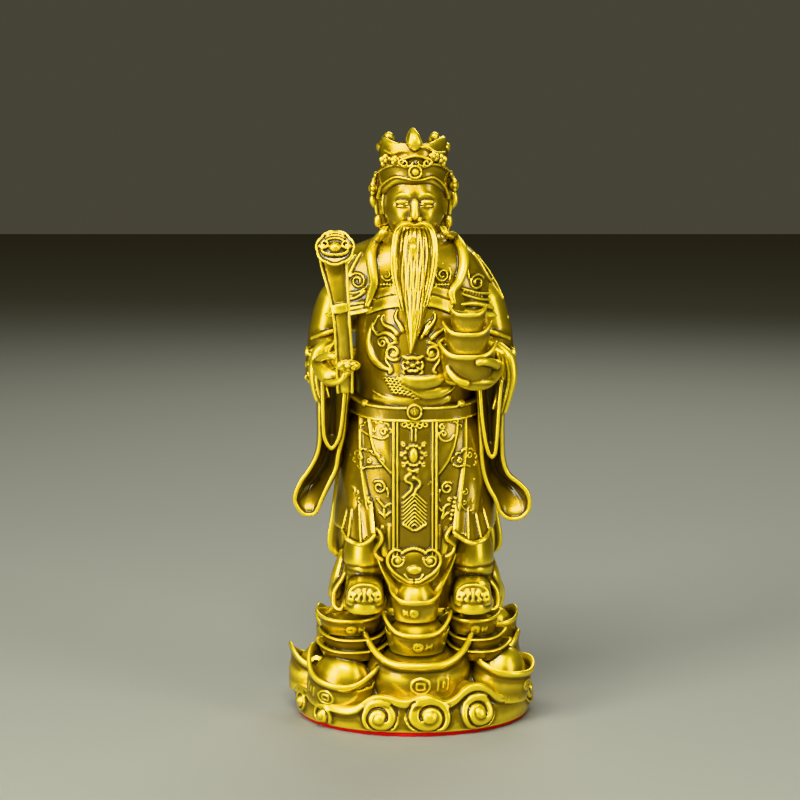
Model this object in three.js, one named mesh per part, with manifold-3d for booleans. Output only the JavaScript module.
// A standing god of wealth, cast in one piece with the heap of gold ingots and the cloud plinth
// that he stands on, with a felt pad glued under the plinth.
// Millimetres. +Z is up, the figure faces -Y, and the origin is the middle of the felt's underside.

import * as THREE from "three";
import { ParametricGeometry } from "three/addons/geometries/ParametricGeometry.js";
import { mergeVertices } from "three/addons/utils/BufferGeometryUtils.js";
import Module from "manifold-3d";

const wasm = await Module();
wasm.setup();

// Driving sizes
const castHeight = 198.5; // plinth's underside to the tip of the crown's flame
const feltThickness = 1.5;
const plinthHalfLength = 40;
const plinthHalfDepth = 33;
const plinthBulge = 1.2; // how far the cloud band stands out of the plinth's footprint
const feltInset = 0.5; // the felt's edge lies this far inside the plinth's footprint
const sleeveWall = 1.1;
const beltWidth = 5.2;
const apronWidth = 15;
const figureTriangles = 9600; // the surface is thinned to this many
const flatWithin = 0.3; // corners this close to the underside or the top are brought onto it

// The carving is measured on a figure of this height, with its feet of clay at this level
const carvedHeight = 198.5;
const carvedSeat = 1.5;
const share = castHeight / carvedHeight;
const inCarving = (size) => size / share; // a driving size, measured in the carving

// Lines that the carving is set out from
const bodyX = 1; // middle of the chest
const skirtX = 0.9; // middle of the skirt and of the robe under it
const capeX = -0.9; // middle of the cape and of the upper arms under it
const apronX = 0.5;
const headX = 0.1;
const beltHeight = 107;
const hemHeight = 60;
const heapTop = 38;

const fullTurn = 2 * Math.PI;
const { sin, cos, abs, sign, min, max, exp, sqrt, PI } = Math;
const mix = (a, b, t) => a + (b - a) * t;
const ramp = (a, b, x) => {
  const t = min(1, max(0, (x - a) / (b - a)));
  return t * t * (3 - 2 * t);
};
const bell = (x, centre, width) => exp(-(((x - centre) / width) ** 2));
const vec = (x, y, z) => new THREE.Vector3(x, y, z);

// A row of a table at any value of its first column, on a smooth curve through the rows
function rowAt(table, key) {
  const rows = table[0][0] < table[table.length - 1][0] ? table : [...table].reverse();
  const k = min(max(key, rows[0][0]), rows[rows.length - 1][0]);
  let i = 0;
  while (i < rows.length - 2 && k > rows[i + 1][0]) i++;
  const [a, b] = [rows[i], rows[i + 1]];
  const before = rows[max(0, i - 1)];
  const after = rows[min(rows.length - 1, i + 2)];
  const span = b[0] - a[0];
  const t = (k - a[0]) / span;
  return a.map((value, c) => {
    if (c === 0) return k;
    const slopeA = ((b[c] - before[c]) / (b[0] - before[0])) * span;
    const slopeB = ((after[c] - value) / (after[0] - a[0])) * span;
    const t2 = t * t;
    const t3 = t2 * t;
    return (
      (2 * t3 - 3 * t2 + 1) * value + (t3 - 2 * t2 + t) * slopeA +
      (3 * t2 - 2 * t3) * b[c] + (t3 - t2) * slopeB
    );
  });
}

// One solid from a closed geometry: its vertices are merged and its faces turned outwards
function solidOf(geometry) {
  geometry.deleteAttribute("normal");
  geometry.deleteAttribute("uv");
  const merged = mergeVertices(geometry, 1e-4);
  const p = merged.attributes.position.array;
  const faces = [];
  let volume = 0;
  for (let i = 0; i < merged.index.count; i += 3) {
    const [a, b, c] = [0, 1, 2].map((j) => merged.index.array[i + j]);
    if (a === b || b === c || a === c) continue;
    faces.push([a, b, c]);
    const [A, B, C] = [a, b, c].map((n) => vec(p[3 * n], p[3 * n + 1], p[3 * n + 2]));
    volume += A.dot(B.cross(C)) / 6;
  }
  const turned = volume < 0 ? faces.map(([a, b, c]) => [a, c, b]) : faces;
  return new wasm.Manifold(
    new wasm.Mesh({ numProp: 3, vertProperties: p, triVerts: new Uint32Array(turned.flat()) }),
  );
}

// A closed surface: point(u, v) goes once round with u, and from one pole to the other with v
function closed(around, along, point) {
  return solidOf(
    new ParametricGeometry(
      (u, v, target) => {
        const p = point(u === 1 ? 0 : u, v);
        target.set(p.x * share, p.y * share, (p.z - carvedSeat) * share);
      },
      around,
      along,
    ),
  );
}

// A stack of level sections with a flat end at top and bottom.
// section(a, z) gives the point at angle a, where -90 degrees is the front
function stack(around, levels, section) {
  const rings = levels.length;
  return closed(around, rings + 1, (u, v) => {
    const step = Math.round(v * (rings + 1));
    const z = levels[min(max(step - 1, 0), rings - 1)];
    if (step > 0 && step <= rings) return section(u * fullTurn, z);
    const [a, b] = [section(0, z), section(PI, z)];
    return a.add(b).multiplyScalar(0.5);
  });
}
const levelsBetween = (low, high, count) =>
  Array.from({ length: count + 1 }, (_, i) => mix(low, high, i / count));

// A rounded section: half width w, reach f to the front and b to the back, squareness n
function rounded(a, x, y, w, f, b, n = 2.3) {
  const [c, s] = [cos(a), sin(a)];
  return [
    x + w * sign(c) * abs(c) ** (2 / n),
    y + (s < 0 ? f : b) * sign(s) * abs(s) ** (2 / n),
  ];
}

// A lump: an ellipsoid, turned about Z by spin degrees
function lump(x, y, z, rx, ry, rz, around = 10, along = 6, spin = 0) {
  const turn = THREE.MathUtils.degToRad(spin);
  return closed(around, along, (u, v) => {
    const [a, up] = [u * fullTurn, sin(v * PI)];
    const p = vec(rx * cos(a) * up, ry * sin(a) * up, rz * cos(v * PI));
    return p.applyAxisAngle(vec(0, 0, 1), turn).add(vec(x, y, z));
  });
}

// A strap, cord or roll along a smooth curve through the points. widths and heights are
// half sizes from end to end, and out is the way that its height stands
function roll(points, widths, heights, { steps = 10, sides = 5, out = vec(0, -1, 0) } = {}) {
  const curve = new THREE.CatmullRomCurve3(points.map((p) => vec(...p)), false, "centripetal");
  const graded = (list, t) => {
    const k = t * (list.length - 1);
    const i = min(list.length - 2, Math.floor(k));
    return mix(list[i], list[i + 1], k - i);
  };
  return closed(sides, steps + 2, (u, v) => {
    const step = Math.round(v * (steps + 2));
    const t = min(max((step - 1) / steps, 0), 1);
    const middle = curve.getPoint(t);
    if (step === 0 || step === steps + 2) return middle;
    const ahead = curve.getTangent(t);
    const up = out.clone().addScaledVector(ahead, -out.dot(ahead)).normalize();
    const side = ahead.clone().cross(up);
    return middle
      .addScaledVector(side, graded(widths, t) * cos(u * fullTurn))
      .addScaledVector(up, graded(heights, t) * sin(u * fullTurn));
  });
}

// The coil of a cloud or scroll, in the XZ plane: from the outside in, as points
function coil(x, z, radius, turns, start, hand, y, count = 9) {
  return Array.from({ length: count }, (_, i) => {
    const t = i / (count - 1);
    const a = THREE.MathUtils.degToRad(start) + hand * turns * fullTurn * t;
    const r = radius * (1 - 0.78 * t);
    return [x + r * cos(a), y(x + r * cos(a), z + r * sin(a)), z + r * sin(a)];
  });
}

const joined = (solids) => solids.reduce((all, one) => all.add(one));

// A lighter surface: the edges whose loss moves the surface least are closed up first, down to
// the given number of triangles. An edge stays where its loss would pinch the surface or turn
// a face over
function thinned(corners, triangles, most) {
  let faces = triangles;
  const flatness = corners.map(() => new Float64Array(10));
  const normalOf = (A, B, C) => B.clone().sub(A).cross(C.clone().sub(A));
  for (const face of faces) {
    const normal = normalOf(...face.map((i) => corners[i]));
    const area = normal.length();
    if (area < 1e-12) continue;
    const { x, y, z } = normal.divideScalar(area);
    const d = -normal.dot(corners[face[0]]);
    const terms = [x * x, x * y, x * z, x * d, y * y, y * z, y * d, z * z, z * d, d * d];
    for (const i of face) terms.forEach((term, k) => (flatness[i][k] += term * area));
  }
  const misfit = (q, { x, y, z }) =>
    q[0] * x * x + q[4] * y * y + q[7] * z * z + q[9] +
    2 * (q[1] * x * y + q[2] * x * z + q[3] * x + q[5] * y * z + q[6] * y + q[8] * z);
  while (faces.length > most) {
    const fans = corners.map(() => []);
    for (const face of faces) for (const i of face) fans[i].push(face);
    const edges = [];
    for (const [a, b, c] of faces) {
      for (const [i, j] of [[a, b], [b, c], [c, a]]) {
        if (i > j) continue;
        const q = flatness[i].map((value, k) => value + flatness[j][k]);
        const middle = corners[i].clone().lerp(corners[j], 0.5);
        const solve = new THREE.Matrix3(q[0], q[1], q[2], q[1], q[4], q[5], q[2], q[5], q[7]);
        const spots = [corners[i], corners[j], middle];
        const length = corners[i].distanceTo(corners[j]);
        if (abs(solve.determinant()) > 1e-9) {
          const best = vec(-q[3], -q[6], -q[8]).applyMatrix3(solve.invert());
          if (best.distanceTo(middle) < length) spots.push(best);
        }
        const costs = spots.map((spot) => misfit(q, spot));
        const least = costs.indexOf(min(...costs));
        edges.push({ i, j, q, spot: spots[least].clone(), cost: costs[least] + 1e-5 * length * length });
      }
    }
    edges.sort((one, other) => one.cost - other.cost);
    const held = new Set();
    const gone = new Set();
    const quota = min(faces.length - most, Math.ceil(faces.length * 0.12));
    for (const { i, j, q, spot } of edges.slice(0, Math.ceil(edges.length * 0.5))) {
      if (gone.size >= quota) break;
      const around = new Set([...fans[i], ...fans[j]].flat());
      if ([...around].some((n) => held.has(n))) continue;
      const ring = new Set(fans[i].flat());
      const shared = [...new Set(fans[j].flat())].filter((n) => ring.has(n) && n !== i && n !== j);
      const lost = fans[i].filter((face) => face.includes(j));
      if (shared.length !== 2 || lost.length !== 2) continue;
      const kept = [...fans[i], ...fans[j]].filter((face) => !lost.includes(face));
      const turns = kept.some((face) => {
        const before = face.map((n) => corners[n]);
        const after = face.map((n) => (n === i || n === j ? spot : corners[n]));
        const [was, is] = [normalOf(...before), normalOf(...after)];
        const sides = after.map((corner, n) => corner.distanceTo(after[(n + 1) % 3]));
        const thin = is.length() < 0.03 * max(...sides) ** 2 && is.length() < was.length();
        return thin || was.dot(is) < 0.3 * was.length() * is.length();
      });
      if (turns) continue;
      corners[i].copy(spot);
      flatness[i] = q;
      for (const face of fans[j]) face[face.indexOf(j)] = i;
      lost.forEach((face) => gone.add(face));
      around.forEach((n) => held.add(n));
    }
    if (gone.size === 0) break;
    faces = faces.filter((face) => !gone.has(face));
  }
  return faces;
}

// The robed body: height, half width, reach to the front, reach to the back
const chestRows = [
  [102, 21.5, 23, 13],
  [110, 20.6, 24, 13],
  [118, 20.6, 24.8, 13.5],
  [125, 20.6, 24, 14],
  [132, 20.5, 22.5, 14],
  [139, 20, 20.5, 14],
  [146, 19.5, 18, 13.5],
  [153, 16.5, 15.5, 12],
  [160, 9, 10, 9],
  [166, 7, 8, 8],
];
const skirtRows = [
  [hemHeight, 25.2, 24.6, 16.5],
  [68, 24.8, 24.8, 16.5],
  [76, 24.2, 24.8, 16],
  [90, 23.2, 24.3, 15],
  [102, 21.8, 23.4, 13.5],
  [108, 21, 23.3, 13],
];
const squareness = 2.3;
const skirtSquareness = 2.7; // of its front; the back is as round as the chest
const capeSquareness = 2.1;

// The front of the body at a place seen from the front, with the relief lifted off it
function frontOf(rows, middle, lift, n = squareness) {
  return (x, z) => {
    const [, w, f] = rowAt(rows, z);
    const t = min(0.98, abs(x - middle) / w);
    return -f * (1 - t ** n) ** (1 / n) - lift;
  };
}
const onChest = (lift) => frontOf(chestRows, bodyX, lift);
const onSkirt = (lift) => frontOf(skirtRows, skirtX, lift, skirtSquareness);
const laid = (front, places) => places.map(([x, z]) => [x, front(x, z), z]);

// Plinth

// Height of the cloud band's upper edge round the plinth: a crest over each volute
const volutes = [
  { at: -172, size: 4.6, level: 6.5, hand: 1 },
  { at: -137, size: 4.4, level: 5.6, hand: 1 },
  { at: -107, size: 6, level: 8.6, hand: -1 },
  { at: -80, size: 6.6, level: 9, hand: 1 },
  { at: -54, size: 6.6, level: 9.4, hand: -1 },
  { at: -12, size: 5.2, level: 10, hand: 1 },
  { at: 28, size: 5.4, level: 8, hand: -1 },
  { at: 62, size: 5.6, level: 8, hand: 1 },
  { at: 95, size: 5.6, level: 8, hand: -1 },
  { at: 128, size: 5.4, level: 8, hand: 1 },
  { at: 158, size: 5, level: 7.5, hand: -1 },
];
const offAngle = (a, b) => abs(((a - b + 540) % 360) - 180);
const crestLow = 9.5; // height of the band's edge between the volutes
const crest = (degrees) =>
  volutes.reduce((top, { at, size, level }) => {
    const over = (level + size - crestLow) * exp(-((offAngle(degrees, at) / 13) ** 2));
    return max(top, over + crestLow);
  }, crestLow);

function plinthPoint(a, z, out = 0) {
  const swell = inCarving(plinthBulge) * sin(PI * min(1, max(0, (z - carvedSeat) / 9))) + out;
  const deep = inCarving(plinthHalfDepth) + swell;
  const [x, y] = rounded(a, 0, 0, inCarving(plinthHalfLength) + swell, deep, deep, 2.15);
  return vec(x, y, z);
}

function cloudPlinth() {
  const bands = [0, 0.25, 0.6, 0.9, 1];
  return closed(48, bands.length + 2, (u, v) => {
    const step = Math.round(v * (bands.length + 2));
    if (step === 0) return vec(0, 0, carvedSeat);
    if (step === bands.length + 2) return vec(0, 0, 13);
    const a = u * fullTurn;
    const top = crest(THREE.MathUtils.radToDeg(a));
    if (step === bands.length + 1) return plinthPoint(a, top - 0.4, -3).setZ(top - 0.4);
    const z = mix(carvedSeat, top, bands[step - 1]);
    return plinthPoint(a, z, step === bands.length ? -1.2 : 0);
  });
}

// A volute: a coiled roll that winds in to a bead standing proud of the plinth
function volute({ at, size, level, hand }) {
  const count = 11;
  const points = Array.from({ length: count }, (_, i) => {
    const t = i / (count - 1);
    const r = size * 0.92 * (1 - 0.8 * t);
    const turn = hand * (fullTurn * 1.25 * t) + PI / 2;
    const z = max(carvedSeat + 1.1, level + r * sin(turn));
    const shift = (r * cos(turn)) / inCarving(plinthHalfLength);
    return plinthPoint(THREE.MathUtils.degToRad(at) + shift, z, 0.2 + t).toArray();
  });
  const out = plinthPoint(THREE.MathUtils.degToRad(at), level).setZ(0).normalize();
  return roll(points, [1.6, 1.5, 1.4, 1.5], [1.4, 1.3, 1.3, 1.6], { steps: 12, sides: 4, out });
}

// Ingots

// A boat-shaped ingot: a wall flaring up to a thin rim whose two ends rise, and a dome in a dish.
// length is from tip to tip; rim, tip and dome are heights above the underside
function ingot({ x, y, z, length, depth, rim, tip, dome, spin = 0, lean = 0, pitch = 0, around = 16 }) {
  const [px, py, pz] = [pitch, lean, spin].map(THREE.MathUtils.degToRad);
  const turned = new THREE.Quaternion().setFromEuler(new THREE.Euler(px, py, pz, "ZYX"));
  const place = new THREE.Matrix4().compose(vec(x, y, z), turned, vec(1, 1, 1));
  const dish = 0.74 * rim;
  // shares of the half length and half depth, height, and share of the ends' rise
  const profile = [
    [0.7, 0.7, 0, 0],
    [0.82, 0.86, 0.5 * rim, 0.2],
    [1, 1, rim, 1],
    [0.95, 0.93, rim, 1],
    [0.74, 0.76, dish, 0.45],
    [0.52, 0.62, dish, 0.1],
    [0.44, 0.54, mix(dish, dome, 0.6), 0],
    [0.27, 0.33, mix(dish, dome, 0.9), 0],
  ];
  return closed(around, profile.length + 1, (u, v) => {
    const step = Math.round(v * (profile.length + 1));
    if (step === 0) return vec(0, 0, 0).applyMatrix4(place);
    if (step > profile.length) return vec(0, 0, dome).applyMatrix4(place);
    const [long, deep, high, rise] = profile[step - 1];
    const end = cos(u * fullTurn) ** 4;
    return vec(
      (length / 2) * long * cos(u * fullTurn),
      (depth / 2) * deep * sin(u * fullTurn),
      high + (tip - rim) * rise * end,
    ).applyMatrix4(place);
  });
}

// The heap under the feet: three at the front on each other, two leaning at the corners,
// two stacks under the boots and plainer ones round the back
const heapIngots = [
  { x: 1.8, y: -14.5, z: 11.5, length: 38.4, depth: 36, rim: 12.6, tip: 20.6, dome: 17, around: 22 },
  { x: 1.3, y: -18.5, z: 26, length: 24, depth: 22.6, rim: 7.6, tip: 13.2, dome: 12, around: 18 },
  { x: 0.8, y: -20, z: 37, length: 18.2, depth: 16.8, rim: 7.6, tip: 10.8, dome: 14.2, around: 18 },
  { x: -25.4, y: -17, z: 7, length: 27, depth: 23, rim: 10.6, tip: 17.4, dome: 18, spin: -26, lean: 11,
    pitch: 6 },
  { x: 29, y: -14, z: 9, length: 22.6, depth: 21, rim: 11, tip: 14.4, dome: 17, spin: 32, lean: 7, pitch: 5 },
  { x: -21.4, y: -11, z: 30.6, length: 23.6, depth: 21, rim: 5.6, tip: 7.6, dome: 6 },
  { x: -20, y: -12.5, z: 24, length: 30, depth: 24, rim: 5.2, tip: 9, dome: 6, spin: 6 },
  { x: 20.4, y: -11, z: 30.6, length: 19, depth: 19, rim: 5.6, tip: 7.4, dome: 6 },
  { x: 22.6, y: -12.5, z: 24, length: 25, depth: 22, rim: 4.8, tip: 8.2, dome: 6, spin: -8 },
  { x: -31, y: 0, z: 7, length: 24, depth: 21, rim: 10.5, tip: 15.4, dome: 16, spin: 12, lean: 9 },
  { x: 29.6, y: 6, z: 22.5, length: 17, depth: 16, rim: 8.5, tip: 13, dome: 12.5, spin: 24, lean: -12 },
  { x: 28.6, y: 3, z: 10.5, length: 22, depth: 21, rim: 10.5, tip: 15.5, dome: 15, spin: -12, lean: -8 },
  { x: -27, y: 8, z: 21, length: 18, depth: 16, rim: 8, tip: 12, dome: 12.5, spin: -24, lean: 10 },
  { x: -13, y: 19, z: 9, length: 27, depth: 21, rim: 10.5, tip: 15.5, dome: 16, spin: -8, pitch: -8 },
  { x: 14, y: 19, z: 9, length: 27, depth: 21, rim: 10.5, tip: 15.5, dome: 16, spin: 8, pitch: -8 },
  { x: 0, y: 16.5, z: 20.5, length: 25, depth: 18, rim: 8.5, tip: 13, dome: 13, pitch: -10 },
];

function heapCore() {
  const rows = [
    [8, 36, 30],
    [14, 34, 27],
    [20, 30, 22],
    [28, 26, 17],
    [heapTop, 22, 13],
  ];
  return stack(20, rows.map((row) => row[0]), (a, z) => {
    const [, w, d] = rowAt(rows, z);
    const [x, y] = rounded(a, 0, 3, w, d, d);
    return vec(x, y, z);
  });
}

// Boots and lower robe

const bootX = [-16.2, 19.8];

function boot(x) {
  const length = 24;
  const toe = -27;
  const soleRows = [
    [40, 6.2],
    [41, 6.9],
    [42.6, 7],
    [43.2, 6.5],
  ];
  const sole = stack(14, soleRows.map((row) => row[0]), (a, z) => {
    const [, w] = rowAt(soleRows, z);
    const [px, py] = rounded(a, x, toe + length / 2, w, length / 2, length / 2, 2.4);
    return vec(px, py, z);
  });
  const vamp = closed(14, 8, (u, v) => {
    const a = u * fullTurn;
    const up = max(0, sin(v * PI)) ** 0.5;
    const along = -cos(v * PI);
    return vec(
      x + 6.5 * up * sign(cos(a)) * abs(cos(a)) ** 0.8,
      toe + 11.6 + 10.8 * along,
      43.2 + (sin(a) > 0 ? 8.3 : 0.4) * up * sign(sin(a)) * abs(sin(a)) ** 0.8,
    );
  });
  return [sole, vamp];
}

function lowerRobe() {
  const rows = [
    [36, 29, 9, 21],
    [42, 29.8, 10.5, 21],
    [47, 28, 11.5, 20.5],
    [51.5, 24.8, 12.5, 19],
    [58, 24.2, 14, 17],
    [72, 24, 17, 16],
  ];
  return stack(32, rows.map((row) => row[0]), (a, z) => {
    const [, w, f, b] = rowAt(rows, z);
    const fold = 0.9 * cos(11 * a) * ramp(66, 40, z);
    const [x, y] = rounded(a, skirtX, 0, w + fold, f + fold, b + fold);
    return vec(x, y, z);
  });
}

// The robe round one shin, drawn in over the boot
function legRobe(x) {
  const rows = [
    [46, 7.2, 8.8],
    [50, 7.6, 9.4],
    [57, 7.6, 9.4],
    [64, 6, 7.4],
    [68, 4, 5],
  ];
  return stack(12, rows.map((row) => row[0]), (a, z) => {
    const [, w, d] = rowAt(rows, z);
    return vec(x + w * cos(a), -6.4 + d * sin(a), z);
  });
}

// Folds that are drawn from the shins down to the middle, behind the apron's end
function drawnFolds() {
  return [-1, 1].flatMap((hand) =>
    [0, 1, 2].map((n) =>
      roll(
        [
          [skirtX + hand * (12 - n), -17.5, 58 - 2 * n],
          [skirtX + hand * (9.5 - n), -18.5, 51 - 2.4 * n],
          [skirtX + hand * (4.5 - n), -17.5, 45.5 - 2.6 * n],
        ],
        [0.8, 1.2, 0.8],
        [1.6, 2, 1.4],
        { steps: 4, sides: 4 },
      ),
    ),
  );
}

// The lower robe's side hem, hanging in a pointed loop beside each boot
function sideHem(hand) {
  return roll(
    [
      [skirtX + hand * 23, -6, 58],
      [skirtX + hand * 24.6, -9, 50],
      [skirtX + hand * 28, -9, 43],
      [skirtX + hand * 27.4, -10, 38.6],
    ],
    [1.4, 2, 2.4, 1.4],
    [3, 3.4, 3.4, 2],
    { steps: 7, sides: 6 },
  );
}

// Skirt, apron and belt

// The hem's height round the skirt: a fan on each side of the apron, and lower sides and back
function hemAt(x, front) {
  const off = abs(x - skirtX);
  const fan = 1 * bell(off, 18.5, 4);
  const gather = 3.4 * bell(off, 11.6, 1.6);
  const inner = 0.8 * bell(off, 8.8, 1.6);
  const outer = 3.4 * ramp(20, 24.6, off);
  return front ? hemHeight + 2.4 - fan + gather - inner + outer : hemHeight - 3;
}

// How far the cloth stands out in folds, at angle a and height z
function skirtFold(a, z) {
  const hem = ramp(92, hemHeight, z);
  const off = abs(cos(a));
  const frontSide = sin(a) < 0 ? 1 : 0;
  const ridge = 1.9 * bell(off, 0.5, 0.035) + 1.3 * bell(off, 0.78, 0.05);
  const gather = -3 * bell(off, 0.42, 0.05) * ramp(72, 60, z);
  const back = (1 - frontSide) * 1.6 * cos(9 * a) * hem;
  return frontSide * (ridge * mix(0.35, 1, hem) + gather) + back;
}

function skirt() {
  const steps = [0, 0.1, 0.24, 0.42, 0.62, 0.82, 1];
  const high = 108;
  return closed(56, steps.length + 3, (u, v) => {
    const step = Math.round(v * (steps.length + 3));
    const a = u * fullTurn;
    if (step === 0) return vec(skirtX, 0, hemHeight + 4);
    if (step === steps.length + 3) return vec(skirtX, 0, high);
    const inner = step === 1;
    const t = steps[min(max(step - 2, 0), steps.length - 1)];
    const [hemX] = rounded(a, skirtX, 0, 25.2, 24.6, 16.5);
    const z = mix(hemAt(hemX, sin(a) < 0.15), high, t);
    const [, w, f, b] = rowAt(skirtRows, z);
    const fold = skirtFold(a, z) - (inner ? 2.6 : 0);
    const n = sin(a) < 0 ? skirtSquareness : squareness;
    const [x, y] = rounded(a, skirtX, 0, w + fold, f + fold, b + fold, n);
    return vec(x, y, inner ? z + 1.4 : z);
  });
}

// The robe's outer panels, which show at the sides and back below the skirt's front
function backPanels() {
  const rows = [
    [54, 26.6, 2, 18.5],
    [56, 29, 3, 19.6],
    [61, 29.6, 4, 20],
    [68, 28.6, 4, 19],
    [84, 26.8, 4, 17],
    [100, 25.4, 3, 14],
    [108, 23.8, 2, 12.6],
    [126, 24, 2, 12.6],
  ];
  return stack(36, rows.map((row) => row[0]), (a, z) => {
    const [, w, f, b] = rowAt(rows, z);
    const fold = 1 * cos(13 * a) * ramp(90, 56, z);
    const [x, y] = rounded(a, skirtX - 0.6, 0, w + fold * 0.5, f + fold, b + fold);
    return vec(x, y, z + 0.8 * cos(9 * a) * ramp(62, 54, z));
  });
}

function apron() {
  const [low, high] = [58, 105];
  const front = onSkirt(0.6);
  const down = (x, widths, heights) =>
    roll(laid(front, levelsBetween(high, low, 6).map((z) => [x, z])), widths, heights,
      { steps: 6, sides: 4 });
  const half = inCarving(apronWidth) / 2;
  const panel = closed(4, 9, (u, v) => {
    const step = Math.round(v * 9);
    const z = mix(low, high, min(max((step - 1) / 7, 0), 1));
    const y = front(apronX, z);
    if (step === 0 || step === 9) return vec(apronX, y, z);
    const [sx, sy] = [[-1, 0], [1, 0], [1, 1], [-1, 1]][Math.round(u * 4) % 4];
    return vec(apronX + sx * half, y + (sy ? 4 : -0.5), z);
  });
  const borders = [-1, 1].flatMap((hand) => [
    down(apronX + hand * (half - 0.4), [0.75, 0.75], [1, 1]),
    down(apronX + hand * (half - 2.4), [0.75, 0.75], [0.9, 0.9]),
  ]);
  const boss = lump(apronX, front(apronX, 88) - 0.3, 88, 2.2, 1.6, 4, 8, 5);
  const tail = roll(
    laid(onSkirt(1.1), [[1.6, 82], [-1.4, 79.6], [1.8, 77], [-0.6, 74.4], [1.4, 71.5]]),
    [0.7, 0.9, 0.7], [1, 1, 0.8], { steps: 8, sides: 4 });
  const feather = Array.from({ length: 4 }, (_, n) => n).flatMap((n) =>
    [-1, 1].map((hand) =>
      roll(
        laid(onSkirt(0.9), [[apronX, 73.5 - 2.2 * n], [apronX + hand * 4, 69.8 - 2.2 * n]]),
        [0.5, 0.5], [0.7, 0.7], { steps: 1, sides: 4 })));
  return [panel, ...borders, boss, tail, ...feather];
}

// The cloud-head that ends the apron
function apronHead() {
  const front = (x, z) => onSkirt(1.2)(x, max(z, 60)) - 0.3;
  const z = 56;
  const plate = lump(apronX, front(0, z) + 1, z - 0.4, 8.4, 2.2, 6.2, 14, 6);
  const curls = [-1, 1].map((hand) =>
    roll(coil(apronX + hand * 4.9, z + 1.4, 3.4, 1.2, hand > 0 ? -100 : -80, hand, front, 9),
      [0.9, 0.8, 0.9], [1.2, 1.2, 1.4], { steps: 9, sides: 4 }));
  const rim = roll(
    laid(front, [[apronX - 7.6, z - 1.4], [apronX - 4, z - 4.6], [apronX, z - 6.6], [apronX + 4, z - 4.6],
      [apronX + 7.6, z - 1.4]]), [0.8, 0.9, 0.8], [1.3, 1.3, 1.3], { steps: 8, sides: 4 });
  const arch = roll(
    laid(front, [[apronX - 4.6, z + 4.4], [apronX, z + 6.4], [apronX + 4.6, z + 4.4]]),
    [0.7, 0.8, 0.7], [1.1, 1.2, 1.1], { steps: 5, sides: 4 });
  const pearl = lump(apronX, front(0, z) - 0.2, z - 2.6, 2.7, 1.8, 1.9, 10, 5);
  return [plate, ...curls, rim, arch, pearl];
}

function belt() {
  const half = inCarving(beltWidth) / 2;
  const sag = (a) => 1.4 * max(0, -sin(a));
  const band = stack(32, [-half, -half + 0.7, half - 0.7, half], (a, z) => {
    const [, w, f, b] = rowAt(chestRows, beltHeight);
    const out = abs(z) < half - 0.1 ? 1.5 : 0.9;
    const [x, y] = rounded(a, bodyX, 0, w + out, f + out, b + out);
    return vec(x, y, beltHeight + 1.8 + z - sag(a) * 1.6);
  });
  const buckleY = -26.2;
  const buckle = [
    lump(apronX, buckleY, beltHeight - 0.4, 3.2, 1.5, 3, 12, 4),
    lump(apronX, buckleY - 0.7, beltHeight - 0.4, 1.9, 1.7, 1.8, 8, 4),
  ];
  const rosettes = [-1, 1].map((hand) =>
    lump(bodyX + hand * 14.6, onChest(1.6)(bodyX + hand * 14.6, 109), beltHeight + 3, 1.9, 1.7, 1.7, 8, 4));
  return [band, ...buckle, ...rosettes];
}

// Long creases, the edge that sweeps back from the apron, clouds and scrolls on the skirt
function skirtCarving() {
  const front = onSkirt(0.5);
  return [-1, 1].flatMap((hand) => {
    const at = (off, z) => [skirtX + hand * off, z];
    const line = (places, wide, high, steps) => roll(laid(front, places), wide, high, { steps, sides: 4 });
    return [
      line([at(13.6, 100), at(12.6, 92), at(9.4, 84), at(7, 80)], [0.5, 0.7, 0.5], [0.9, 1, 0.8], 6),
      roll(coil(skirtX + hand * 10.6, 95, 2.7, 1.1, 90, hand, front), [0.6, 0.6], [0.9, 0.9],
        { steps: 8, sides: 4 }),
      roll(coil(skirtX + hand * 19, 84, 2.8, 1.1, 90, hand, front), [0.6, 0.6], [1, 1],
        { steps: 8, sides: 4 }),
      roll(coil(skirtX + hand * 10.2, 73.5, 2.9, 1.1, 200 * hand, hand, front), [0.6, 0.7], [0.9, 1],
        { steps: 8, sides: 4 }),
      line([at(7.6, 71), at(9, 67), at(11.8, 63.5)], [0.6, 0.9, 0.5], [0.9, 1, 0.8], 5),
    ];
  });
}

// Chest and cape

function chest() {
  return stack(28, levelsBetween(102, 166, 9), (a, z) => {
    const [, w, f, b] = rowAt(chestRows, z);
    const [x, y] = rounded(a, bodyX, 0, w, f, b, squareness);
    return vec(x, y, z);
  });
}

const beastHeight = 123.3;

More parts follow.
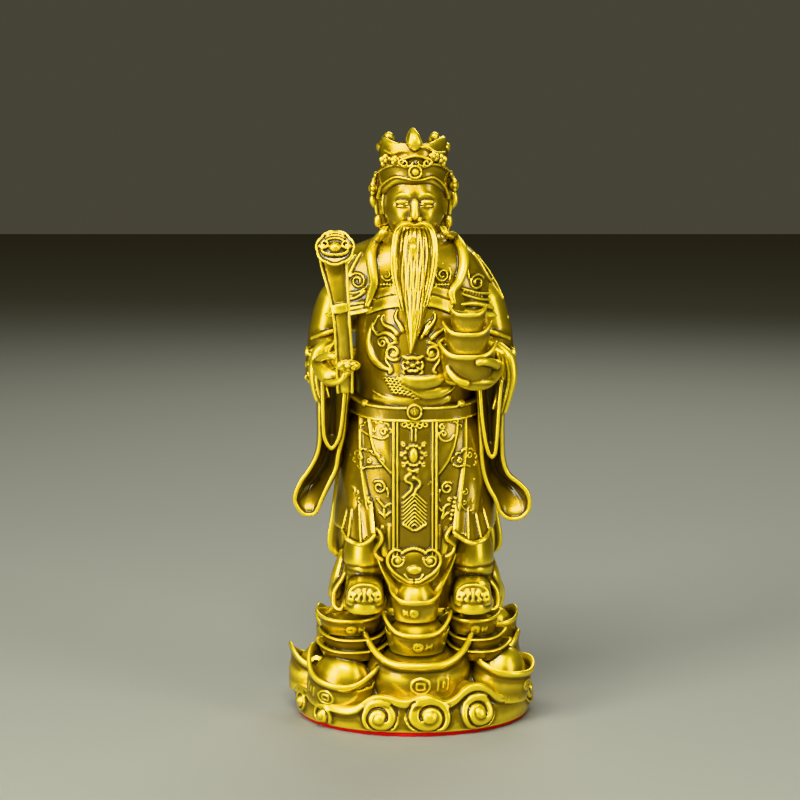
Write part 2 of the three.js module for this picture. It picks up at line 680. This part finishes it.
// The beast's mask on the belly plate, with its two coiled brows and the flames round it
function bellyPlate() {
  const front = onChest(0.7);
  const z = beastHeight;
  const y = front(bodyX, z);
  const mask = [
    lump(apronX, y, z, 4, 1.9, 3, 10, 5),
    lump(apronX, y - 1.5, z - 0.6, 1.3, 1.5, 1.2, 7, 4),
    roll([[apronX - 3.4, y - 1, z + 2.2], [apronX, y - 1.6, z + 2.8], [apronX + 3.4, y - 1, z + 2.2]],
      [0.6, 0.8, 0.6], [1, 1.2, 1], { steps: 4, sides: 4 }),
  ];
  const around = [-1, 1].flatMap((hand) => {
    const at = (off, h) => [bodyX + hand * off, h];
    const flame = (places) =>
      roll(laid(front, places), [1.2, 1, 0.3], [1.2, 1.1, 0.5], { steps: 5, sides: 4 });
    return [
      roll(coil(bodyX + hand * 6.6, z + 4, 2.4, 1.2, hand > 0 ? 250 : -70, -hand, front), [0.7, 0.6, 0.8],
        [1.1, 1.1, 1.4], { steps: 9, sides: 4 }),
      flame([at(6.9, 131.8), at(10.4, 133.4), at(13.6, 133.6)]),
      flame([at(5.7, 133.6), at(8, 135.6), at(11.2, 139.2)]),
      flame([at(4.4, 134.4), at(5.6, 137.4), at(6.2, 141)]),
      flame([at(9.4, 126.4), at(7.6, 123.6), at(8.6, 121)]),
      roll(
        laid(onChest(0.4),
          [at(14.4, 135.9), at(15.9, 129.8), at(14.8, 126.1), at(12.1, 123.5), at(8.8, 121.6)]),
        [0.8, 1.5, 1.5, 1.3, 0.8], [0.9, 1.2, 1.2, 1.1, 0.9], { steps: 7, sides: 4 }),
    ];
  });
  return [...mask, ...around];
}

// The sash that hangs over the belt in two swags
function sash() {
  const front = onChest(0.8);
  const swag = (places) =>
    roll(laid(front, places), [1, 1.5, 1.5, 1], [0.9, 1.2, 1.2, 0.9], { steps: 7, sides: 4 });
  return [
    swag([[-3, 118.2], [1.9, 116.6], [6.5, 117.4], [10.2, 119.3]]),
    swag([[-1, 115.5], [4.6, 112.8], [8.3, 113.2], [11.8, 114.7]]),
  ];
}

// The two turned-back bands that close the chest under the collar
function collarBands() {
  return [
    { z: 143, side: 146.6, high: 1.4 },
    { z: 138.4, side: 141.4, high: 1.2 },
  ].map(({ z, side, high }) => {
    const lift = onChest(0.3);
    const level = (x) => mix(z, side, (abs(x - bodyX) / 17) ** 2) - 3.4;
    const places = [-16.5, -10, -3, 5, 12, 18.5].map((x) => [x, level(x)]);
    return roll(laid(lift, places), [2.1, 2.3, 2.3, 2.1], [high, high, high], { steps: 8, sides: 4 });
  });
}

const capeRows = [
  [131.5, 32.6, 15, 17],
  [134.4, 32.4, 15.6, 17.4],
  [139.4, 30.5, 15.8, 17.2],
  [146, 28.3, 15.8, 16.6],
  [151.6, 26.1, 15, 15.8],
  [156.6, 23.3, 13.4, 14.4],
  [160.5, 19.2, 11.4, 12.4],
  [163, 13.4, 9.4, 10.6],
  [165.5, 8.6, 7.6, 8.6],
];

function cape() {
  const high = 165.5;
  return closed(32, 10, (u, v) => {
    const a = u * fullTurn;
    const step = Math.round(v * 10);
    if (step === 0) return vec(capeX, 1, 134);
    if (step === 10) return vec(capeX, 0, high + 0.4);
    const edge = 131.6 + 5 * bell(cos(a), 0, 0.55) * (sin(a) < 0 ? 1 : -0.9);
    const t = max(0, step - 2) / 7;
    const z = mix(edge, high, t ** 0.9);
    const [, w, f, b] = rowAt(capeRows, z);
    const under = step === 1 ? -2.4 : 0;
    const [x, y] = rounded(a, capeX, 0, w + under, f + under, b + under, capeSquareness);
    return vec(x, y, step === 1 ? z + 1 : z);
  });
}
const onCape = (lift) => frontOf(capeRows, capeX, lift, capeSquareness);

// The cape's border, a scroll on each shoulder and the ribbons that hang from the hat
function capeCarving() {
  return [-1, 1].flatMap((hand) => {
    const at = (off, z) => [bodyX + hand * off, z];
    const end = at(hand > 0 ? 12.6 : 16.4, 137);
    const ribbon = [
      [bodyX + hand * 10.4, -9.6, 166],
      ...laid(onCape(1.2), [at(13.2, 160), at(15, 155.4), at(15.2, 149.6), at(14, 144), end]),
    ];
    const border = [at(17, 137.5), at(22, 136.4), at(27, 134.6), at(31, 133.4)];
    return [
      roll(ribbon, [1, 1.6, 1.8, 1.7, 1.8, 1], [1.4, 1.8, 2, 2, 2, 1.4], { steps: 12, sides: 6 }),
      roll(laid(onCape(0.2), border), [1.1, 1.1], [1.1, 1], { steps: 4, sides: 4 }),
      roll(coil(bodyX + hand * 21.4, 147.5, 3.6, 1.2, hand > 0 ? 60 : 120, hand, onCape(0.3)), [0.7, 0.7],
        [0.9, 1], { steps: 9, sides: 4 }),
    ];
  });
}

// Arms, sleeves and hands

function upperArm(hand) {
  return roll(
    [
      [capeX + hand * 19, 0, 150],
      [capeX + hand * 25, 0, 142],
      [capeX + hand * 27.6, 0, 132],
      [capeX + hand * 28, -1, 122],
      [capeX + hand * 26.4, -9, 118.6],
      [capeX + hand * 25.4, -18, 119.5],
    ],
    [4.6, 6.2, 6.6, 6.8, 5.8, 4],
    [5.6, 8, 8.6, 8.2, 6, 4.2],
    { steps: 9, sides: 10, out: vec(0, -1, 0.35) },
  );
}

// The beast's mask that bites each sleeve at the elbow
function elbowMask(hand) {
  const x = capeX + hand * 33.2;
  return [
    lump(x, -4, 120.5, 2.6, 5, 6.4, 9, 6),
    lump(x + hand * 1.5, -6.6, 125, 1.8, 2, 2, 6, 4),
    lump(x + hand * 1.8, -4.6, 118.6, 1.8, 2.4, 2, 6, 4),
  ];
}

// A hanging sleeve that is open to the front. Rows run from top to bottom:
// height, rim's left, rim's right, rim's front, depth, fullness left, fullness right
function sleeve(rows, hollow, around) {
  const levels = rows.map((row) => row[0]);
  const steps = rows.length + 1;
  const half = around / 2;
  return closed(around, steps, (u, v) => {
    const step = Math.round(v * steps);
    const z = levels[min(max(step - 1, 0), rows.length - 1)];
    const t = (step - 1) / (rows.length - 1);
    const [, left, right, front, depth, fullLeft, fullRight] = rowAt(rows, z);
    const [middle, w] = [(left + right) / 2, (right - left) / 2];
    if (step === 0 || step === steps) return vec(middle, front + depth / 2, z);
    const k = Math.round(u * around);
    const outside = k <= half;
    const turn = outside ? PI - (PI * k) / half : (PI * (k - half)) / half;
    const wall = inCarving(sleeveWall);
    const cut = outside ? 0 : wall;
    const full = (turn > PI / 2 ? fullLeft : fullRight) * (outside ? sin(turn) : 0);
    const deep = outside ? depth : min(hollow, depth - wall) * ramp(0, 0.2, 1 - t);
    return vec(
      middle + (max(0.15, w - cut) + full) * cos(turn),
      front + (outside ? 0 : 0.25) + deep * sin(turn),
      z,
    );
  });
}

const outerSleeves = [
  [
    [124, -31, -21.4, -18, 17, 2, 2],
    [116, -31.2, -21.4, -19, 17, 3, 3],
    [107, -31.3, -22.2, -19, 17, 3.8, 4],
    [98, -31.4, -23.2, -18.2, 17, 3.4, 4],
    [92.5, -32.4, -24.5, -17.6, 16.5, 2.4, 4],
    [87.3, -35, -25.4, -17, 15.5, 1.2, 4],
    [83, -38, -27.4, -16.8, 14.5, 0.5, 3.8],
    [79.6, -39.5, -29, -16.6, 13, 0.3, 3.2],
    [76.4, -40, -30.4, -16.2, 11, 0.2, 2.6],
    [73.4, -38.7, -31.6, -15.8, 8.4, 0.2, 1.4],
    [72, -37.4, -32.6, -15.4, 6, 0.1, 0.6],
    [71.2, -36, -33.8, -15, 4, 0, 0],
  ],
  [
    [124, 21, 29.8, -18, 17, 2, 2],
    [115, 21.2, 29.8, -19, 17, 3, 3],
    [105, 21.6, 29.6, -19, 17, 3.4, 3.8],
    [96, 22.1, 29.8, -18.2, 17, 4, 3.8],
    [90.4, 22.4, 30.3, -17.6, 16.5, 4, 3],
    [85.2, 23.3, 32.4, -17, 15.5, 4, 1.6],
    [81.2, 24.7, 37.2, -16.8, 14.5, 3.8, 0.5],
    [77.4, 26.8, 39.2, -16.6, 13, 3.2, 0.3],
    [74.4, 28, 39.2, -16.2, 11, 2.4, 0.2],
    [72, 29, 38.2, -15.8, 8.4, 1.2, 0.2],
    [70.6, 30.8, 36.4, -15.4, 6, 0.6, 0.1],
    [69.8, 32.6, 34.6, -15, 4, 0, 0],
  ],
];
const innerSleeves = [
  [
    [118, -30.4, -21.8, -21, 9, 0, 0],
    [107, -30.3, -22.8, -21, 9, 0, 0],
    [99, -29.9, -24, -20.6, 8, 0, 0],
    [95.6, -28.6, -25.6, -20, 6, 0, 0],
    [94.4, -27.4, -26.8, -19.4, 4, 0, 0],
  ],
  [
    [118, 21.2, 29.4, -21, 9, 0, 0],
    [108, 21.9, 28.6, -21, 9, 0, 0],
    [98, 23.2, 28, -20.6, 8, 0, 0],
    [92.8, 24.6, 27.4, -20, 6, 0, 0],
    [91.4, 25.8, 26.4, -19.4, 4, 0, 0],
  ],
];

// The turned cuff that runs from the elbow over the wrist to the top of the opening
function cuffs() {
  const cuff = (points) =>
    roll(points, [1.4, 2.2, 2, 1.2], [1.6, 2.6, 2.2, 1.4], { steps: 7, sides: 6 });
  return [
    cuff([[-27, -14, 130], [-31.2, -16.5, 127], [-33, -17.5, 121], [-32.8, -18, 115], [-31.6, -18.6, 112]]),
    cuff([[27.6, -14, 129], [31.4, -16.5, 125], [32.6, -17.5, 119], [31.8, -18, 113], [30, -18.6, 108]]),
  ];
}

// The hand that grips the sceptre, and the open palm that carries the ingots
function grippingHand() {
  const fingers = Array.from({ length: 4 }, (_, n) =>
    roll(
      [[-26 + 1.4 * n, -27.5, 117.6 + 0.3 * n], [-22.5 + 1.2 * n, -30.4, 118 + 0.5 * n],
        [-19.8 + 0.9 * n, -30.6, 120.2 + 0.5 * n]],
      [1.1, 1.15, 0.8], [1.1, 1.15, 0.9], { steps: 4, sides: 5 }));
  return [
    lump(-25.4, -23.6, 119.6, 4.4, 4.6, 3, 10, 6),
    roll([[-29, -16, 121.5], [-28.2, -20, 120.6], [-26, -24, 119.6]], [3.2, 3, 2.8], [2.8, 2.6, 2.4],
      { steps: 4, sides: 8 }),
    roll([[-29, -20.4, 122.4], [-26.6, -25.6, 123.8], [-23.4, -28, 123]], [1.2, 1.3, 0.8], [1.2, 1.3, 0.9],
      { steps: 4, sides: 5 }),
    ...fingers,
  ];
}

const palmIngots = [
  { x: 17.6, y: -26.4, z: 118.8, length: 19.6, depth: 13.4, rim: 8, tip: 12, dome: 8.6 },
  { x: 17.4, y: -26.2, z: 127.2, length: 16.6, depth: 12, rim: 6.8, tip: 10.2, dome: 7.4 },
  { x: 17.6, y: -25.8, z: 134.4, length: 13, depth: 10.2, rim: 5.8, tip: 8.4, dome: 6.2 },
];

function openHand() {
  const fingers = Array.from({ length: 4 }, (_, n) =>
    roll(
      [[18, -25.4 - 1.9 * n, 117.4], [13.4, -26 - 1.8 * n, 118.2], [10.2, -26.4 - 1.6 * n, 121.4 - 0.4 * n]],
      [1.4, 1.2, 0.8], [1.3, 1.1, 0.8], { steps: 4, sides: 5 }));
  return [
    lump(19.6, -26.6, 118, 7.4, 5.8, 2.8, 12, 6),
    roll([[29, -16, 119.5], [27.4, -21, 119], [23, -26, 118]], [3.6, 3.6, 3], [3, 3, 2.6],
      { steps: 4, sides: 8 }),
    roll([[27, -27, 119.6], [25, -32, 121.6], [21, -33.2, 123.4]], [1.5, 1.3, 0.9], [1.5, 1.3, 0.9],
      { steps: 4, sides: 5 }),
    ...fingers,
  ];
}

// Sceptre

function sceptre() {
  const stem = roll(
    [[-22, -27.8, 114], [-22, -28.6, 126], [-22.8, -28.8, 138], [-24, -27.4, 147], [-25, -26.8, 155],
      [-25.3, -27.4, 160]],
    [2.5, 2.8, 2.6, 3.1, 4, 4],
    [1.3, 1.4, 1.4, 1.3, 1.3, 1],
    { steps: 10, sides: 6 },
  );
  const step = roll([[-22.4, -29.2, 140], [-23.2, -29, 143.4]], [2.8, 2.9], [1.5, 1.6],
    { steps: 2, sides: 6 });
  const tilt = THREE.MathUtils.degToRad(-32);
  const centre = vec(-25.3, -28.2, 161.3);
  // The cloud-shaped head: five soft lobes round a shallow dish
  const radius = 6.2;
  // share of the radius, and depth behind the head's middle
  const rows = [
    [0, 1.6],
    [0.55, 1.6],
    [0.92, 0.6],
    [1, -0.6],
    [0.86, -0.2],
    [0.5, -0.7],
    [0.25, -1.6],
    [0, -1.9],
  ];
  const last = rows.length - 1;
  const head = closed(20, last, (u, v) => {
    const a = u * fullTurn;
    const lobe = 1 + 0.1 * cos(5 * (a + PI / 2));
    const [r, h] = rows[Math.round(v * last)];
    const reach = radius * r * lobe;
    return vec(reach * cos(a), h, reach * sin(a)).applyAxisAngle(vec(1, 0, 0), tilt).add(centre);
  });
  const curls = [-1, 1].map((hand) =>
    roll(
      Array.from({ length: 7 }, (_, i) => {
        const a = PI / 2 + hand * (fullTurn * 1.1 * i) / 6;
        const r = 2 - 0.25 * i;
        return vec(hand * 3.2 + r * cos(a), -1, 0.6 + r * sin(a)).applyAxisAngle(vec(1, 0, 0), tilt)
          .add(centre).toArray();
      }),
      [0.6, 0.7], [0.9, 1.1], { steps: 7, sides: 4 }));
  const flower = lump(-21.2, -31, 124, 4.2, 1.9, 2.2, 10, 5, 8);
  return [stem, step, head, ...curls, flower];
}

// Head, beard and hat

function head() {
  const centre = vec(headX + 0.3, -5.2, 174.6);
  const half = vec(9.7, 11.2, 13.2);
  const squareness = 2.35;
  // The skull: an egg that narrows to the chin, with brow, cheeks and the hollows of the eyes
  const skull = closed(22, 14, (u, v) => {
    const a = u * fullTurn;
    const lat = v * PI;
    const h = cos(lat);
    const jaw = mix(1, 0.8, ramp(-0.2, -0.95, h));
    const [px, py] = rounded(a, 0, 0, 1, 1, 1, squareness);
    const wide = max(0, sin(lat)) ** 0.7;
    const p = vec(half.x * jaw * wide * px, half.y * wide * py, half.z * h);
    if (sin(a) < 0) {
      const side = p.x / half.x;
      p.y -= 0.7 * bell(h, -0.28, 0.2) * bell(abs(side), 0.46, 0.22);
      p.y += 0.9 * bell(h, 0.02, 0.1) * bell(abs(side), 0.4, 0.2);
      p.y -= 0.5 * bell(h, 0.24, 0.12) * bell(side, 0, 0.8);
    }
    return p.add(centre);
  });
  const at = (off, up, out) => {
    const across = abs(off) / half.x;
    const wide = max(0, sin(Math.acos(up / half.z))) ** 0.7;
    const reach = half.y * wide * (1 - across ** squareness) ** (1 / squareness);
    return [centre.x + off, centre.y - reach - out, centre.z + up];
  };
  const nose = roll([at(0, 2, -0.4), at(0, -1.5, 1.2), at(0, -4.4, 2.2), at(0, -5.6, 0.6)],
    [0.8, 1.2, 1.8, 1.2], [0.9, 1.4, 1.8, 1], { steps: 5, sides: 6 });
  const brows = [-1, 1].map((hand) =>
    roll([at(hand * 1.8, 2.6, -0.2), at(hand * 4.6, 3.6, -0.1), at(hand * 7.2, 2.4, -0.2)],
      [0.4, 0.7, 0.3], [0.6, 0.8, 0.5], { steps: 4, sides: 4 }));
  const lids = [-1, 1].map((hand) => lump(...at(hand * 3.7, 0.4, -1), 2.3, 1.2, 1.1, 8, 4));
  const lips = lump(...at(0, -8.4, -0.6), 2.6, 1.5, 1, 8, 4);
  const ears = [-1, 1].flatMap((hand) => [
    lump(headX + hand * 10.9, -2.6, 174.6, 1.6, 2.6, 4.6, 8, 6),
    lump(headX + hand * 11.4, -3.4, 168.6, 1.5, 1.8, 3.2, 7, 5),
  ]);
  const hair = [
    lump(headX, 0.4, 174, 10.3, 7.6, 12.5, 12, 8),
    lump(headX, 1, 166, 9.6, 6.8, 7.5, 12, 6),
  ];
  return [skull, ...hair, nose, ...brows, ...lids, lips, ...ears];
}

// Beard: height, middle, half width, front, thickness
const beardRows = [
  [167.6, 0.4, 5, -16.2, 4],
  [163.4, 0.4, 6.6, -18.2, 5.5],
  [155.5, 0.2, 6.9, -21, 6],
  [147.7, 0.1, 6, -23.2, 5.5],
  [141.9, 0.1, 4.5, -24.8, 5],
  [135.3, -0.2, 2.7, -26.4, 3.6],
  [129.4, -0.6, 1, -27.3, 2.2],
  [127.3, -1, 0.4, -27.3, 1.4],
];

function beard() {
  const body = stack(18, levelsBetween(127.3, 167.6, 7), (a, z) => {
    const [, middle, w, front, thick] = rowAt(beardRows, z);
    const strand = 1 + 0.07 * cos(9 * a);
    return vec(middle + w * strand * cos(a), front + thick + thick * strand * sin(a), z);
  });
  const moustache = [-1, 1].map((hand) =>
    roll(
      [
        [headX + 0.3 + hand * 1, -17.8, 168.6],
        [headX + 0.3 + hand * 4.4, -18.2, 167.8],
        [headX + 0.3 + hand * 6.8, -17.8, 164.6],
        [headX + 0.3 + hand * 7.3, -19, 158],
        [headX + 0.3 + hand * 7.2, -21.2, 150],
        [headX + hand * 5.6, -23.4, 142],
      ],
      [0.8, 1.3, 1.3, 1.2, 1, 0.4],
      [0.9, 1.3, 1.3, 1.3, 1, 0.5],
      { steps: 11, sides: 5 },
    ));
  const tuft = roll([[headX, -17.2, 164], [headX, -20.4, 161.6], [headX, -21.4, 157]], [1, 1.4, 0.4],
    [0.8, 1.2, 0.4], { steps: 4, sides: 6 });
  return [body, ...moustache, tuft];
}

function hat() {
  const hatX = headX - 0.2;
  const scrollX = hatX + 0.4;
  // height at the sides, half width, front, back, and how much higher the front is
  const rows = [
    [176.6, 11, 10.2, 11, 4.9],
    [178, 11.7, 11.8, 11.7, 4.9],
    [181.4, 11.6, 11.8, 11.8, 4],
    [184.7, 11.9, 12.1, 12.1, 3],
    [186.2, 11.2, 11.5, 11.5, 2.6],
    [189.5, 11.1, 10.9, 11.4, 1.4],
    [192.6, 11.3, 10.3, 11.6, 0.6],
    [195, 11, 9.6, 11.4, 0.2],
    [196, 10, 8.6, 10.6, 0],
  ];
  const crown = closed(28, rows.length + 1, (u, v) => {
    const a = u * fullTurn;
    const step = Math.round(v * (rows.length + 1));
    if (step === 0) return vec(hatX, -4, 181.6);
    if (step > rows.length) return vec(hatX, -4, 193.4);
    const [z, w, f, b, higher] = rows[step - 1];
    const wave = step >= rows.length - 1 ? 1.2 * cos(2 * a) - 0.6 * cos(6 * a) : 0;
    const lifted = z + higher * max(0, -sin(a)) ** 1.6 + wave;
    return vec(hatX + w * cos(a), -4.5 + (sin(a) < 0 ? f : b) * sin(a), lifted);
  });
  const hoop = (low, out, high) => {
    const places = Array.from({ length: 9 }, (_, i) => {
      const a = PI + (PI * i) / 8;
      const reach = 11.9 + out;
      return [hatX + reach * cos(a), -4.7 + reach * sin(a), low + high * max(0, -sin(a)) ** 1.6];
    });
    return roll(places, [0.9, 1, 0.9], [0.9, 1, 0.9], { steps: 14, sides: 5 });
  };
  const knobs = [-1, 1].flatMap((hand) => [
    lump(hatX - 0.5 + hand * 7.6, -3, 195.8, 2.6, 3.4, 2.7, 8, 5),
    lump(hatX + hand * 9.6, -4.6, 191.6, 1.7, 3.4, 2, 8, 5),
  ]);
  const flame = roll([[0.2, -13.4, 191.4], [0.2, -14.4, 193.6], [0.1, -13.4, 197], [0, -12.6, 199.8]],
    [1.5, 2.6, 1.9, 0.6], [1.2, 1.9, 1.5, 0.6], { steps: 6, sides: 8 });
  const gem = lump(hatX + 0.4, -16.6, 185.6, 2.2, 1.5, 2.2, 10, 5);
  const scroll = [-1, 1].flatMap((hand) => [
    roll(
      [[scrollX, -15.8, 190.6], [scrollX + hand * 3.4, -15.4, 190], [scrollX + hand * 5.2, -14.4, 188],
        [scrollX + hand * 3.4, -15.6, 187.4]],
      [0.6, 0.8, 0.6], [0.8, 1, 0.8], { steps: 6, sides: 4 }),
    lump(hatX + hand * 8.8, -11.4, 189.6, 2, 1.6, 1.8, 7, 4),
    lump(hatX + hand * 12.7, -5.6, 180.6, 2.2, 2.6, 1.9, 8, 5),
    lump(hatX + hand * 12.3, -7, 185, 1.4, 1.6, 1.4, 6, 4),
  ]);
  return [crown, hoop(185, 0.3, 3), hoop(178, 0.3, 4.9), ...knobs, flame, gem, ...scroll];
}

// The casting and its pad

function casting() {
  const solids = [
    cloudPlinth(),
    ...volutes.map(volute),
    heapCore(),
    ...heapIngots.map(ingot),
    ...bootX.flatMap(boot),
    lowerRobe(),
    ...bootX.map(legRobe),
    ...drawnFolds(),
    ...[-1, 1].map(sideHem),
    skirt(),
    backPanels(),
    ...apron(),
    ...apronHead(),
    ...belt(),
    ...skirtCarving(),
    chest(),
    ...bellyPlate(),
    ...sash(),
    ...collarBands(),
    cape(),
    ...capeCarving(),
    ...[-1, 1].map(upperArm),
    ...[-1, 1].flatMap(elbowMask),
    ...outerSleeves.map((rows) => sleeve(rows, 11, 14)),
    ...innerSleeves.map((rows) => sleeve(rows, 6, 12)),
    ...cuffs(),
    ...grippingHand(),
    ...openHand(),
    ...palmIngots.map(ingot),
    ...sceptre(),
    ...head(),
    ...beard(),
    ...hat(),
  ];
  const made = joined(solids).getMesh();
  const corners = Array.from({ length: made.vertProperties.length / 3 }, (_, i) =>
    vec(...made.vertProperties.slice(3 * i, 3 * i + 3)));
  const triangles = Array.from({ length: made.triVerts.length / 3 }, (_, i) => [
    ...made.triVerts.slice(3 * i, 3 * i + 3),
  ]);
  const faces = thinned(corners, triangles, figureTriangles);
  for (const corner of corners) {
    if (corner.z < flatWithin) corner.z = 0;
    if (corner.z > castHeight - flatWithin) corner.z = castHeight;
  }
  const points = faces.flat().flatMap((i) => corners[i].toArray());
  return new THREE.BufferGeometry().setAttribute("position", new THREE.Float32BufferAttribute(points, 3));
}

function feltPad() {
  const outline = new THREE.Shape();
  outline.absellipse(0, 0, plinthHalfLength - feltInset, plinthHalfDepth - feltInset, 0, fullTurn);
  return new THREE.ExtrudeGeometry(outline, { depth: feltThickness, bevelEnabled: false, curveSegments: 32 });
}

const gold = new THREE.MeshStandardMaterial({ color: 0xb8922c, roughness: 0.34, metalness: 0.9 });
const redFelt = new THREE.MeshStandardMaterial({ color: 0xa8141c, roughness: 0.95, metalness: 0 });

const figure = new THREE.Mesh(casting(), gold);
figure.name = "caishen_figure";
figure.position.z = feltThickness;

const pad = new THREE.Mesh(feltPad(), redFelt);
pad.name = "felt_pad";

const statue = new THREE.Group();
statue.add(figure, pad);

export default statue;
